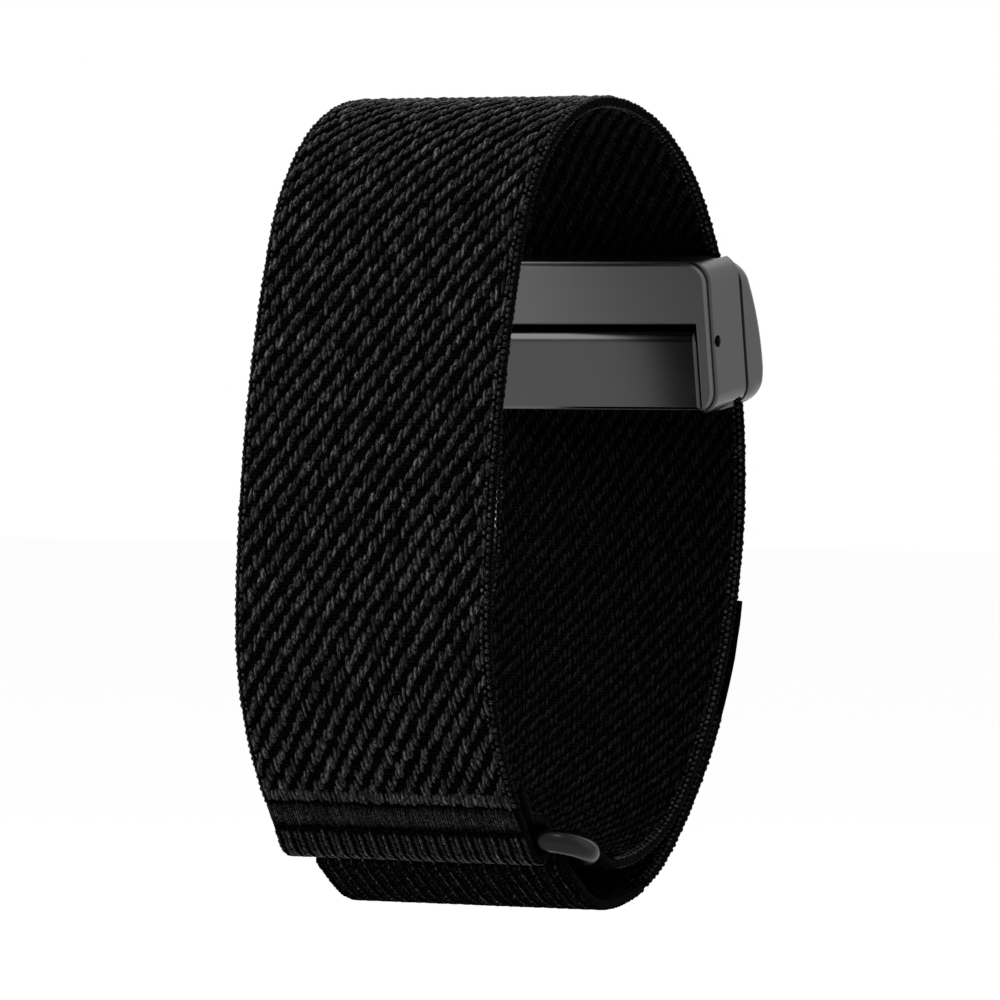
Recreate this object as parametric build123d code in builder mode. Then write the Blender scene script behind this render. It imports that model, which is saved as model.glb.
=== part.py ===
"""Elastic watch strap: a woven band, a side-entry hook ring and a sliding cam-lock clasp.

X runs across the band (the wrist's own axis), Y from the front panel to the clasp, Z up.
The origin is the middle of the wrist opening. Millimetres and degrees throughout.
"""

import os
from math import acos, asin, atan2, cos, degrees, hypot, radians, sin, tan

from build123d import *

# Woven band
strap_width = 24.0
strap_thickness = 1.1
loop_height = 66.2
apex_y = -1.0
ply_gap = 0.1

# Front of the loop: arcs that run into each other from the top down, then a straight run
crown_radius = 12.9
crown_turn = 45.0
brow_radius = 18.6
brow_turn = 27.5
panel_radius = 109.4
chin_radius = 26.2
run_lean = 32.0
fold_run = 5.0
leg_height = 6.29

# Back of the loop, down to the lower fold, where the inner layer lifts to the ring
shoulder_radius = 18.5
back_radius = 40.5
back_rise_share = 0.27
heel_run = 6.28
heel_height = 3.2
lift_radius = 3.5

# Front end of the band, folded round the hook ring and sewn to itself
fold_lean = 50.0
fold_overlap = 2.6
fold_bend_radius = 0.8

# Satin seam that closes the front fold
seam_height = 2.0
seam_above_ring = 2.2
seam_proud = 0.15
seam_inset = 0.3

# Tail of the band, folded back round the outside and held by hook tape
tail_cover_share = 0.4
tail_run = 4.87
tail_rise_radius = 5.8
tail_taper = 9.0
tail_tip_thickness = 0.4
tail_split_gap = 0.05
tape_length = 8.0
tape_thickness = 0.3
tape_inset = 3.5
tape_margin = 0.8

# Hook ring, a U of round wire that is open at the far side
wire_diameter = 1.8
wire_clearance = 0.1
ring_pitch = 5.77
ring_tilt = -16.0
ring_corner_radius = 2.85
ring_bend_inset = 0.6
ring_tip_inset = 0.2
ring_tip_round = 0.5

# Clasp, in its own leaning axes: p points away from the wrist, q up the clasp
clasp_drop_share = 0.2123
clasp_tilt = 8.25
clasp_width = 26.4
clasp_corner_radius = 2.0
clasp_top = 7.3
clasp_bottom = -5.6
clasp_inner_face = -6.1
clasp_parting = -0.55
clasp_edge_round = 0.25
band_side_gap = 0.2
band_face_gap = 0.25
parting_bevel = 0.22

# Face plate of the clasp, brazed on the wrist side
plate_thickness = 0.5
plate_inset = 0.3
plate_bevel = 0.15

# Lock lever and its pin
lever_half_width = 11.65
lever_side_gap = 0.15
lever_thickness = 1.25
lever_bottom = -5.1
lever_bevel = 0.22
pin_q = 0.47
pin_depth = 1.13
pin_diameter = 1.0
pin_running_gap = 0.04
pin_recess = 0.5
window_top = 2.0
nose_half_width = 11.2
nose_gap = 0.15
nose_root_angle = 60.0
nose_tip_angle = 16.0
tooth_count = 4
tooth_depth = 0.3

# Cross bar of the clasp body, under the lever, and the arched notch beside the band in each side wall
bar_front = -2.9
bar_top = -3.9
notch_radius = 1.5
notch_p = -1.5
notch_drop = 0.6

# Outer cover of the clasp and the dowels that hold it on
cover_crown = 3.0
cover_crown_q = -2.5
cover_top = 6.6
cover_brow = 0.7
cover_heel = 1.55
cover_round = 1.0
dowel_diameter = 0.6
dowel_length = 2.0
dowel_q = 4.2
dowel_depth = 0.95

# One overrun serves every cut
over = 1.0


def polar(centre, radius, angle):
    """Point on a circle, from its centre, radius and angle."""
    return (centre[0] + radius * cos(radians(angle)), centre[1] + radius * sin(radians(angle)))


def tangent_angle(first, second, reach):
    """Angle, on the first circle, of the tangent line that runs on to the second one.

    Reach is the difference of the two radii, or their sum where the line crosses over.
    """
    y, z = second[0] - first[0], second[1] - first[1]
    return degrees(atan2(z, y) + acos(reach / hypot(y, z)))


def inner_radius(centre, radius, lowest):
    """Radius of the arc with that lowest point which runs smoothly into the larger circle round it."""
    reach = hypot(lowest[0] - centre[0], lowest[1] - centre[1])
    return (radius**2 - reach**2) / (radius + lowest[1] - centre[1]) / 2


def bearing(centre, point):
    """Angle at which a point lies, seen from a centre."""
    return degrees(atan2(point[1] - centre[1], point[0] - centre[0]))


# Centres of the loop's arcs, from the top of the loop down the front
half_width = strap_width / 2
half_height = loop_height / 2
half_ply = strap_thickness / 2
apex_z = half_height - half_ply
wire_radius = wire_diameter / 2
wrap_radius = wire_radius + wire_clearance + half_ply
crown = (apex_y, apex_z - crown_radius)
crown_end = 90 + crown_turn
brow = polar(crown, crown_radius - brow_radius, crown_end)
brow_end = crown_end + brow_turn
panel = polar(brow, brow_radius - panel_radius, brow_end)

# The panel turns as far as it takes to bring the ring's upper leg to its height
chin_end = 180 + run_lean
chin_drop = (chin_radius - wrap_radius) * sin(radians(chin_end)) + fold_run * cos(radians(chin_end))
chin_z = leg_height - half_height - chin_drop
panel_end = 180 - degrees(asin((chin_z - panel[1]) / (panel_radius - chin_radius)))
panel_turn = panel_end - brow_end
chin = polar(panel, panel_radius - chin_radius, panel_end)
chin_turn = chin_end - panel_end

# The straight run to the ring, and the front fold round the ring's upper leg
run_top = polar(chin, chin_radius, chin_end)
run_end = polar(run_top, fold_run, chin_end + 90)
upper_leg = polar(run_end, -wrap_radius, chin_end)
fold_start = chin_end + 180 + fold_lean
lower_leg = polar(upper_leg, ring_pitch, ring_tilt)

# From the top of the loop down the back, to the lower leg
shoulder = (apex_y, apex_z - shoulder_radius)
back_level = back_rise_share * (back_radius - half_height)
shoulder_end = degrees(asin((shoulder[1] - back_level) / (back_radius - shoulder_radius)))
shoulder_turn = 90 - shoulder_end
back = polar(shoulder, shoulder_radius - back_radius, shoulder_end)
heel_lowest = (lower_leg[0] + heel_run, heel_height + half_ply - half_height)
heel_radius = inner_radius(back, back_radius, heel_lowest)
heel = polar(heel_lowest, heel_radius, 90)
back_end = bearing(back, heel)
back_turn = shoulder_end - back_end
heel_turn = back_end + 90
lift = polar(heel_lowest, lift_radius, 90)
lift_end = tangent_angle(lift, lower_leg, lift_radius + wrap_radius)
wrap_start = lift_end + 180

# The tail: round the lower leg, along the bottom and up the back outside the band
tail_radius = back_radius + strap_thickness + ply_gap
tail_inside = tail_radius - half_ply
tail_outside = tail_radius + half_ply
tail_lowest = (lower_leg[0] + tail_run, half_ply - half_height)
tail_bottom_radius = inner_radius(back, tail_radius, tail_lowest)
bottom = polar(tail_lowest, tail_bottom_radius, 90)
tail_leave_angle = bearing(back, bottom)
cover_angle = shoulder_end - tail_leave_angle
tail_tip_angle = tail_leave_angle + tail_cover_share * cover_angle
rise = polar(tail_lowest, tail_rise_radius, 90)
rise_end = tangent_angle(rise, lower_leg, tail_rise_radius - wrap_radius)
wrap_end = rise_end + 360
peel_axis = polar(lower_leg, wrap_radius + half_ply, wrap_end)

# The clasp's own axes, which lean less than the band under it
clasp_angle = shoulder_end - clasp_drop_share * cover_angle
clasp_lean = clasp_angle - clasp_tilt
clasp_centre = polar(back, back_radius, clasp_angle)
clasp_origin = (0, clasp_centre[0], clasp_centre[1])
outward = Axis(clasp_origin, (0, cos(radians(clasp_lean)), sin(radians(clasp_lean))))
side_plane = Plane(origin=clasp_origin, x_dir=outward.direction, z_dir=(1, 0, 0))
face_origin = side_plane.from_local_coords((clasp_inner_face, 0, 0))
face_plane = Plane(origin=face_origin, x_dir=(1, 0, 0), z_dir=-outward.direction)
seat_plane = face_plane.offset(-plate_thickness)
parting_plane = face_plane.offset(clasp_inner_face - clasp_parting)
upward = Axis(clasp_origin, side_plane.y_dir)

# The clasp's slot for the band follows the band's own arc
back_centre = side_plane.to_local_coords(Vector(0, *back))
arc_centre = (back_centre.X, back_centre.Y)
clasp_half = clasp_width / 2
slot_half = half_width + band_side_gap
slot_inside = back_radius - half_ply - band_face_gap
slot_outside = back_radius + half_ply + band_face_gap

# The lever turns on a pin that lies just under the clasp's inner face
pocket_half = lever_half_width + lever_side_gap
plate_back = clasp_inner_face + plate_thickness
pin_radius = pin_diameter / 2
pin_centre = (clasp_inner_face + pin_depth, pin_q)
pin_to_arc = hypot(pin_centre[0] - arc_centre[0], pin_centre[1] - arc_centre[1])
nose_radius = back_radius - half_ply - nose_gap - pin_to_arc


def run_in(along, inward):
    """Point beside the straight run, by the distance up from the ring and in from the centreline."""
    foot = polar(run_end, along, chin_end - 90)
    return polar(foot, -inward, chin_end)


def rectangle(p_from, p_to, q_from, q_to):
    """Rectangle between two places on each of the clasp's own axes."""
    with Locations(((p_from + p_to) / 2, (q_from + q_to) / 2)):
        Rectangle(p_to - p_from, q_to - q_from)


def outline(q_from, q_to, inset):
    """The clasp's rounded outline as the wrist sees it, between two heights on it."""
    with Locations((0, (q_from + q_to) / 2)):
        RectangleRounded(
            clasp_width - 2 * inset,
            q_to - q_from - 2 * inset,
            clasp_corner_radius - inset,
        )


# Woven band, from its sewn end round the ring, up the front, over and down the back
return_ply = strap_thickness + ply_gap
lean_reach = (wrap_radius + wrap_radius * cos(radians(fold_lean)) - return_ply) / sin(radians(fold_lean))
join_along = wrap_radius * sin(radians(fold_lean)) + lean_reach * cos(radians(fold_lean))
with BuildPart() as elastic_band:
    with BuildSketch(Plane.YZ):
        with BuildLine():
            FilletPolyline(
                run_in(join_along + fold_overlap, return_ply),
                run_in(join_along, return_ply),
                polar(upper_leg, wrap_radius, fold_start),
                radius=fold_bend_radius,
            )
            CenterArc(upper_leg, wrap_radius, chin_end, 180 + fold_lean)
            Line(run_end, run_top)
            CenterArc(chin, chin_radius, panel_end, chin_turn)
            CenterArc(panel, panel_radius, brow_end, panel_turn)
            CenterArc(brow, brow_radius, crown_end, brow_turn)
            CenterArc(crown, crown_radius, 90, crown_turn)
            CenterArc(shoulder, shoulder_radius, shoulder_end, shoulder_turn)
            CenterArc(back, back_radius, back_end, back_turn)
            CenterArc(heel, heel_radius, -90, heel_turn)
            CenterArc(lift, lift_radius, lift_end, -90 - lift_end)
            Line(polar(lift, lift_radius, lift_end), polar(lower_leg, wrap_radius, wrap_start))
            CenterArc(lower_leg, wrap_radius, wrap_start, wrap_end - wrap_start)
        trace(line_width=strap_thickness)
    extrude(amount=half_width, both=True)
elastic_band.part.label = "elastic_band"

# Satin seam across the front, and its bobbin side on the ply behind
seam_top = seam_above_ring + seam_height
bobbin_start = max(seam_above_ring, join_along + fold_bend_radius * tan(radians(fold_lean / 2)))
with BuildPart() as seam_stitching:
    with BuildSketch(Plane.YZ):
        with BuildLine():
            Polyline(
                run_in(seam_above_ring, -half_ply),
                run_in(seam_top, -half_ply),
                run_in(seam_top, -half_ply - seam_proud),
                run_in(seam_above_ring, -half_ply - seam_proud),
                close=True,
            )
        make_face()
        with BuildLine():
            Polyline(
                run_in(bobbin_start, return_ply + half_ply),
                run_in(seam_top, return_ply + half_ply),
                run_in(seam_top, return_ply + half_ply + seam_proud),
                run_in(bobbin_start, return_ply + half_ply + seam_proud),
                close=True,
            )
        make_face()
    extrude(amount=half_width - seam_inset, both=True)
seam_stitching.part.label = "seam_stitching"

# Tail of the band, which peels open from the lower fold and thins towards its tip
tail_start = polar(polar(lower_leg, wrap_radius, wrap_end), tail_split_gap, wrap_end + 90)
full_angle = tail_tip_angle - degrees(tail_taper / tail_radius)
tip_outside = tail_inside + tail_tip_thickness
tape_top = tail_tip_angle - degrees(tape_inset / tail_radius)
tape_sweep = degrees(tape_length / tail_radius)
with BuildPart() as band_tail:
    with BuildSketch(Plane.YZ):
        with BuildLine():
            Line(tail_start, polar(rise, tail_rise_radius, rise_end))
            CenterArc(rise, tail_rise_radius, rise_end, -90 - rise_end)
            CenterArc(bottom, tail_bottom_radius, -90, tail_leave_angle + 90)
            CenterArc(back, tail_radius, tail_leave_angle, tail_tip_angle - tail_leave_angle)
        trace(line_width=strap_thickness)
        with BuildLine():
            ThreePointArc(
                polar(back, tail_outside, full_angle),
                polar(back, (tail_outside + tip_outside) / 2, (full_angle + tail_tip_angle) / 2),
                polar(back, tip_outside, tail_tip_angle),
            )
            Line(
                polar(back, tip_outside, tail_tip_angle),
                polar(polar(back, tip_outside, tail_tip_angle), over, tail_tip_angle + 90),
            )
            Line(
                polar(polar(back, tip_outside, tail_tip_angle), over, tail_tip_angle + 90),
                polar(polar(back, tail_outside + over, tail_tip_angle), over, tail_tip_angle + 90),
            )
            Line(
                polar(polar(back, tail_outside + over, tail_tip_angle), over, tail_tip_angle + 90),
                polar(back, tail_outside + over, full_angle),
            )
            Line(
                polar(back, tail_outside + over, full_angle),
                polar(back, tail_outside, full_angle),
            )
        make_face(mode=Mode.SUBTRACT)
    extrude(amount=half_width, both=True)
    with BuildSketch(Plane.YZ):
        with BuildLine():
            CenterArc(back, tail_inside + tape_thickness, tape_top - tape_sweep, tape_sweep)
            Line(
                polar(back, tail_inside + tape_thickness, tape_top),
                polar(back, tail_inside - ply_gap, tape_top),
            )
            CenterArc(back, tail_inside - ply_gap, tape_top - tape_sweep, tape_sweep)
            Line(
                polar(back, tail_inside - ply_gap, tape_top - tape_sweep),
                polar(back, tail_inside + tape_thickness, tape_top - tape_sweep),
            )
        make_face()
    extrude(amount=half_width - tape_margin, both=True, mode=Mode.SUBTRACT)
band_tail.part.label = "band_tail"

# Hook tape, sunk flush in the tail's inner face
with BuildPart() as hook_tape:
    with BuildSketch(Plane.YZ):
        with BuildLine():
            CenterArc(
                back,
                tail_inside + tape_thickness / 2,
                tape_top - tape_sweep,
                tape_sweep,
            )
        trace(line_width=tape_thickness)
    extrude(amount=half_width - tape_margin, both=True)
hook_tape.part.label = "hook_tape"

# Hook ring, whose legs slide out of both folds towards the near side
ring_direction = (0, cos(radians(ring_tilt)), sin(radians(ring_tilt)))
ring_normal = (0, -ring_direction[2], ring_direction[1])
ring_plane = Plane(origin=(0, *upper_leg), x_dir=(1, 0, 0), z_dir=ring_normal)
ring_tip = ring_tip_inset - half_width
ring_reach = half_width - ring_bend_inset + ring_corner_radius
with BuildPart() as hook_ring:
    with BuildLine(ring_plane) as ring_path:
        FilletPolyline(
            (ring_tip, 0),
            (ring_reach, 0),
            (ring_reach, ring_pitch),
            (ring_tip, ring_pitch),
            radius=ring_corner_radius,
        )
    with BuildSketch(Plane(origin=ring_path.line @ 0, z_dir=ring_path.line % 0)):
        Circle(wire_radius)
    sweep()
    fillet(hook_ring.edges().group_by(Axis.X)[0], radius=ring_tip_round)
hook_ring.part.label = "hook_ring"

# Clasp body: side walls, top block and cross bar, cut through by the lever's pocket and the slot
dowel_x = (slot_half + clasp_half) / 2
with BuildPart() as clasp_body:
    with BuildSketch(seat_plane):
        outline(clasp_bottom, clasp_top, 0)
    extrude(amount=plate_back - clasp_parting)
    chamfer(clasp_body.edges().group_by(outward)[-1], length=parting_bevel)
    fillet(clasp_body.edges().group_by(outward)[0], radius=clasp_edge_round)
    with BuildSketch(side_plane):
        rectangle(plate_back - over, clasp_parting + over, clasp_bottom - over, window_top)
    extrude(amount=pocket_half, both=True, mode=Mode.SUBTRACT)
    with BuildSketch(side_plane):
        with Locations((notch_p, clasp_bottom - notch_drop)):
            Circle(notch_radius)
    extrude(amount=clasp_half, both=True, mode=Mode.SUBTRACT)
    with BuildSketch(side_plane):
        rectangle(bar_front, clasp_parting, clasp_bottom, bar_top)
    extrude(amount=pocket_half, both=True)
    with BuildSketch(side_plane):
        rectangle(plate_back - over, clasp_parting + over, clasp_bottom - over, clasp_top + over)
        with Locations(arc_centre):
            Circle(slot_inside, mode=Mode.SUBTRACT)
    extrude(amount=slot_half, both=True, mode=Mode.SUBTRACT)
    with BuildSketch(side_plane):
        with Locations(pin_centre):
            Circle(pin_radius)
    extrude(amount=clasp_half, both=True, mode=Mode.SUBTRACT)
    with BuildSketch(parting_plane):
        with GridLocations(2 * dowel_x, 2 * dowel_q, 2, 2):
            Circle(dowel_diameter / 2)
    extrude(amount=dowel_depth, mode=Mode.SUBTRACT)
clasp_body.part.label = "clasp_body"

# Face plate, an arch round the lever's pocket
with BuildPart() as face_plate:
    with BuildSketch(seat_plane):
        outline(clasp_bottom, clasp_top, plate_inset)
    extrude(amount=plate_thickness)
    with BuildSketch(side_plane):
        rectangle(clasp_inner_face - over, plate_back + over, clasp_bottom - over, window_top)
    extrude(amount=pocket_half, both=True, mode=Mode.SUBTRACT)
    chamfer(face_plate.edges().group_by(outward)[0], length=plate_bevel)
face_plate.part.label = "face_plate"

# Outer cover, with a domed back that comes down to a thin foot over the band
with BuildPart() as clasp_cover:
    with BuildSketch(side_plane):
        with BuildLine():
            Line((clasp_parting, clasp_bottom), (clasp_parting, cover_top))
            Line((clasp_parting, cover_top), (cover_brow, cover_top))
            TangentArc((cover_crown, cover_crown_q), (cover_brow, cover_top), tangent=(0, 1))
            TangentArc((cover_crown, cover_crown_q), (cover_heel, clasp_bottom), tangent=(0, -1))
            Line((cover_heel, clasp_bottom), (clasp_parting, clasp_bottom))
        make_face()
    extrude(amount=clasp_half, both=True)
    with BuildSketch(parting_plane):
        outline(clasp_bottom, cover_top, 0)
    extrude(amount=clasp_parting - cover_crown - over, mode=Mode.INTERSECT)
    raised = clasp_cover.edges().filter_by(outward, reverse=True) - clasp_cover.edges().group_by(outward)[0]
    crown_lines = raised.filter_by(Axis.X).sort_by(upward)[1:-1]
    fillet(raised - crown_lines, radius=cover_round)
    chamfer(clasp_cover.edges().group_by(outward)[0], length=parting_bevel)
    with BuildSketch(side_plane):
        with Locations(arc_centre):
            Circle(slot_outside)
    extrude(amount=slot_half, both=True, mode=Mode.SUBTRACT)
    with BuildSketch(side_plane):
        with Locations((notch_p, clasp_bottom - notch_drop)):
            Circle(notch_radius)
    extrude(amount=clasp_half, both=True, mode=Mode.SUBTRACT)
    with BuildSketch(parting_plane):
        with GridLocations(2 * dowel_x, 2 * dowel_q, 2, 2):
            Circle(dowel_diameter / 2)
    extrude(amount=dowel_depth - dowel_length, mode=Mode.SUBTRACT)
clasp_cover.part.label = "clasp_cover"

# Dowels between the clasp body and its cover
with BuildPart() as cover_dowels:
    with BuildSketch(parting_plane.offset(dowel_depth)):
        with GridLocations(2 * dowel_x, 2 * dowel_q, 2, 2):
            Circle(dowel_diameter / 2)
    extrude(amount=-dowel_length)
cover_dowels.part.label = "cover_dowels"

# Pin of the lock lever, pressed into both side walls and sunk below them
with BuildPart() as lever_pin:
    with BuildSketch(side_plane):
        with Locations(pin_centre):
            Circle(pin_radius)
    extrude(amount=clasp_half - pin_recess, both=True)
lever_pin.part.label = "lever_pin"

# Lock lever: a hub on the pin, a flap flush with the face plate and a toothed cam nose
tooth_step = nose_tip_angle / tooth_count
nose_teeth = [
    polar(pin_centre, nose_radius - tooth_depth * (tooth % 2), nose_tip_angle - tooth * tooth_step)
    for tooth in range(2 * tooth_count + 1)
]
with BuildPart() as lock_lever:
    with BuildSketch(side_plane):
        rectangle(clasp_inner_face, clasp_inner_face + lever_thickness, lever_bottom, pin_q)
        with Locations(pin_centre):
            Circle(pin_depth)
    extrude(amount=lever_half_width, both=True)
    chamfer(lock_lever.edges().group_by(outward)[0].sort_by(upward)[:-1], length=lever_bevel)
    with BuildSketch(side_plane):
        with BuildLine():
            Polyline(
                pin_centre,
                polar(pin_centre, pin_depth, nose_root_angle),
                *nose_teeth,
                polar(pin_centre, pin_depth, -nose_root_angle),
                close=True,
            )
        make_face()
    extrude(amount=nose_half_width, both=True)
    with BuildSketch(side_plane):
        with Locations(pin_centre):
            Circle(pin_radius + pin_running_gap)
    extrude(amount=lever_half_width, both=True, mode=Mode.SUBTRACT)
lock_lever.part.label = "lock_lever"

os.makedirs("parts", exist_ok=True)
export_step(elastic_band.part, "parts/elastic_band.step")
export_step(seam_stitching.part, "parts/seam_stitching.step")
export_step(band_tail.part, "parts/band_tail.step")
export_step(hook_tape.part, "parts/hook_tape.step")
export_step(hook_ring.part, "parts/hook_ring.step")
export_step(clasp_body.part, "parts/clasp_body.step")
export_step(face_plate.part, "parts/face_plate.step")
export_step(clasp_cover.part, "parts/clasp_cover.step")
export_step(cover_dowels.part, "parts/cover_dowels.step")
export_step(lever_pin.part, "parts/lever_pin.step")
export_step(lock_lever.part, "parts/lock_lever.step")
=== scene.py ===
# %% [markdown]
# # An elastic watch strap
#
# The strap is one length of woven elastic, closed by a wire ring and gathered by a metal clasp.
# Seen from a step away it is all yarn and satin metal, so this lesson spends its effort there.
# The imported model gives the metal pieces, their places and their joints. The woven pieces are
# rebuilt here on the same centreline, as a thin ground cloth with thousands of yarns laid on it.

# %% Load the frame
from math import acos, asin, atan2, cos, degrees, hypot, pi, radians, sin

import bmesh
import bpy
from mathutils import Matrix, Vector


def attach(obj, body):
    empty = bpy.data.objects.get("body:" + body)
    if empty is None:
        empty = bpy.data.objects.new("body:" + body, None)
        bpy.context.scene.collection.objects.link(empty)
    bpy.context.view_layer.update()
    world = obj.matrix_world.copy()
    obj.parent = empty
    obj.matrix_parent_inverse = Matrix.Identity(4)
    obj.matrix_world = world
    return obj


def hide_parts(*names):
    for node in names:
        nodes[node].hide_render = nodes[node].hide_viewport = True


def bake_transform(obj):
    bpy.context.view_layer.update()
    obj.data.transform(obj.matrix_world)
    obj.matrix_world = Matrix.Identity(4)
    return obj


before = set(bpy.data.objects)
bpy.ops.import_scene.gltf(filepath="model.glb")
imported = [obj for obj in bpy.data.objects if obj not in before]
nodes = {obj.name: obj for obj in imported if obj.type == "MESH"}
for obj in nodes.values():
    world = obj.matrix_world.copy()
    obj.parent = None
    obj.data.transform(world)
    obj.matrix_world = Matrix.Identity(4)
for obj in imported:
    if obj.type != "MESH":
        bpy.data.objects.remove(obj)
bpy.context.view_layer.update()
MM = 0.001
bpy.context.scene.view_settings.view_transform = "Standard"
print("nodes in the frame:", ", ".join(sorted(nodes)))

# %% [markdown]
# ## The camera
#
# The strap stands upright and is seen from a little to the right of its front and almost level.
# A long lens from 0.7 m away keeps the two edges of the band nearly parallel. The place is given
# as an angle round the strap and an angle above it, which is how a photographer would note it.

# %% Camera
def direction(azimuth, elevation):
    """Unit vector towards a place at that angle round the strap and above it."""
    turn, climb = radians(azimuth), radians(elevation)
    return Vector((sin(turn) * cos(climb), -cos(turn) * cos(climb), sin(climb)))


def new_object(name, data):
    """A new object in the scene."""
    made = bpy.data.objects.new(name, data)
    bpy.context.scene.collection.objects.link(made)
    return made


camera_azimuth, camera_elevation = 31.1, 1.2
camera_distance = 0.716
sensor_width = 36
focal_share = 8.735
look_right = 0.8 * MM
look_up = 0.1 * MM
towards = direction(camera_azimuth, camera_elevation)
rightwards = Vector((cos(radians(camera_azimuth)), sin(radians(camera_azimuth)), 0))
camera = new_object("camera", bpy.data.cameras.new("camera"))
camera.location = rightwards * look_right + towards.cross(rightwards) * look_up + towards * camera_distance
camera.rotation_euler = (-towards).to_track_quat("-Z", "Y").to_euler()
camera.data.sensor_width = sensor_width
camera.data.lens = sensor_width * focal_share
camera.data.clip_start = 0.01
camera.data.clip_end = 10
bpy.context.scene.camera = camera
print("camera at", [round(value, 3) for value in camera.location])

# %% [markdown]
# ## Small helpers for node trees
#
# Both geometry and shader trees are built from the same few moves: add a node, set what it is,
# and plug values or other nodes' outputs into it. One helper does all three, and another keeps
# arithmetic short, so that the trees below read like the formulas they stand for.

# %% Node helpers
FLOAT, COLOR, INT = "NodeSocketFloat", "NodeSocketColor", "NodeSocketInt"
GEOMETRY, MATERIAL = "NodeSocketGeometry", "NodeSocketMaterial"


def plug(tree, socket, source):
    """Links a socket to another one, or gives it a plain value."""
    if isinstance(source, bpy.types.NodeSocket):
        tree.links.new(source, socket)
    elif source is not None:
        socket.default_value = source


def add_node(tree, kind, inputs=None, **settings):
    """A new node of that kind, with its settings made and its inputs plugged."""
    made = tree.nodes.new(kind)
    for name, value in settings.items():
        setattr(made, name, value)
    for key, source in (inputs or {}).items():
        plug(tree, made.inputs[key], source)
    return made


def calculate(tree, operation, *terms):
    """The result of one arithmetic step on numbers or sockets."""
    step = add_node(tree, "ShaderNodeMath", operation=operation)
    for socket, term in zip(step.inputs, terms):
        plug(tree, socket, term)
    return step.outputs[0]


def times(tree, first, second):
    """The product of two numbers or sockets."""
    return calculate(tree, "MULTIPLY", first, second)


def vectors(tree, operation, first, second=None, scale=None):
    """The result of one step on vectors."""
    step = add_node(tree, "ShaderNodeVectorMath", operation=operation)
    plug(tree, step.inputs[0], first)
    plug(tree, step.inputs[1], second)
    plug(tree, step.inputs[3], scale)
    return step.outputs[0]


def new_tree(kind, name, inputs, outputs):
    """A node group with named inputs and outputs, and its two end nodes."""
    tree = bpy.data.node_groups.new(name, kind)
    for label, socket_type, value in inputs:
        socket = tree.interface.new_socket(label, in_out="INPUT", socket_type=socket_type)
        if value is not None:
            socket.default_value = value
    for label, socket_type in outputs:
        tree.interface.new_socket(label, in_out="OUTPUT", socket_type=socket_type)
    return tree, tree.nodes.new("NodeGroupInput").outputs, tree.nodes.new("NodeGroupOutput").inputs


# %% [markdown]
# ## Light, floor and background
#
# Black cloth and dark metal show only by what they reflect. Broad soft panels stand at the front
# left, at the right and behind, a small one hangs overhead, and a faint surround fills the rest.
# The backdrop is white to the camera and in reflections alone, so that it adds no light to the
# cloth. The strap is worn, not stood up, so the floor lies well under it and takes only a faint
# shadow.

# %% Lights and surround
def soft_panel(name, azimuth, elevation, distance, size, power):
    """A rectangular light that looks at the strap from that direction."""
    data = bpy.data.lights.new(name, "AREA")
    data.shape = "RECTANGLE"
    data.size, data.size_y = size
    data.energy = power
    lamp = new_object(name, data)
    place = direction(azimuth, elevation)
    lamp.location = place * distance
    lamp.rotation_euler = (-place).to_track_quat("-Z", "Y").to_euler()


def seen_directly(tree):
    """1 for what the camera and reflections see, 0 for what lights the scene."""
    rays = add_node(tree, "ShaderNodeLightPath")
    return calculate(tree, "MAXIMUM", rays.outputs["Is Camera Ray"], rays.outputs["Is Glossy Ray"])


# Angle round the strap, angle above it, distance, size and power
panels = {
    "panel_front_left": (-40, 35, 0.6, (0.4, 0.4), 1.75),
    "panel_right": (125, 20, 0.6, (0.4, 0.6), 0.75),
    "panel_top": (60, 64, 0.6, (0.09, 0.09), 0.40),
    "panel_back": (190, 30, 0.7, (0.6, 0.5), 1.0),
}
for name, values in panels.items():
    soft_panel(name, *values)

world = bpy.data.worlds.new("surround")
bpy.context.scene.world = world
world.use_nodes = True
sky = world.node_tree
sky.nodes.clear()
ambient = add_node(sky, "ShaderNodeBackground", {"Color": (0.9, 0.9, 0.9, 1), "Strength": 0.06})
paper = add_node(sky, "ShaderNodeBackground", {"Color": (1, 1, 1, 1), "Strength": 1.0})
choice = add_node(
    sky, "ShaderNodeMixShader", {0: seen_directly(sky), 1: ambient.outputs[0], 2: paper.outputs[0]}
)
add_node(sky, "ShaderNodeOutputWorld", {"Surface": choice.outputs[0]})

# %% Floor
floor_drop = 0.095
floor_size = 6.0
bpy.ops.mesh.primitive_plane_add(size=floor_size, location=(0, 0, -floor_drop))
floor = bpy.context.object
floor.name = "floor"
floor_paint = bpy.data.materials.new("pale_floor")
floor_paint.use_nodes = True
tree = floor_paint.node_tree
tree.nodes.clear()
matt = add_node(tree, "ShaderNodeBsdfDiffuse", {"Color": (0.8, 0.8, 0.8, 1)})
glow = add_node(tree, "ShaderNodeEmission", {"Color": (1, 1, 1, 1), "Strength": 0.935})
glow_seen = add_node(tree, "ShaderNodeMixShader", {0: seen_directly(tree), 2: glow.outputs[0]})
both = add_node(tree, "ShaderNodeAddShader", {0: matt.outputs[0], 1: glow_seen.outputs[0]})
add_node(tree, "ShaderNodeOutputMaterial", {"Surface": both.outputs[0]})
floor.data.materials.append(floor_paint)
print("lights:", len(bpy.data.lights))

# %% [markdown]
# ## The centreline of the band
#
# Every woven piece follows one line: from the sewn end, round the ring's upper leg, up the front,
# over the top, down the back and round the ring's lower leg, where the tail begins. The line is
# the same chain of tangent arcs as in the solid model, so its sizes are repeated here.

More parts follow.
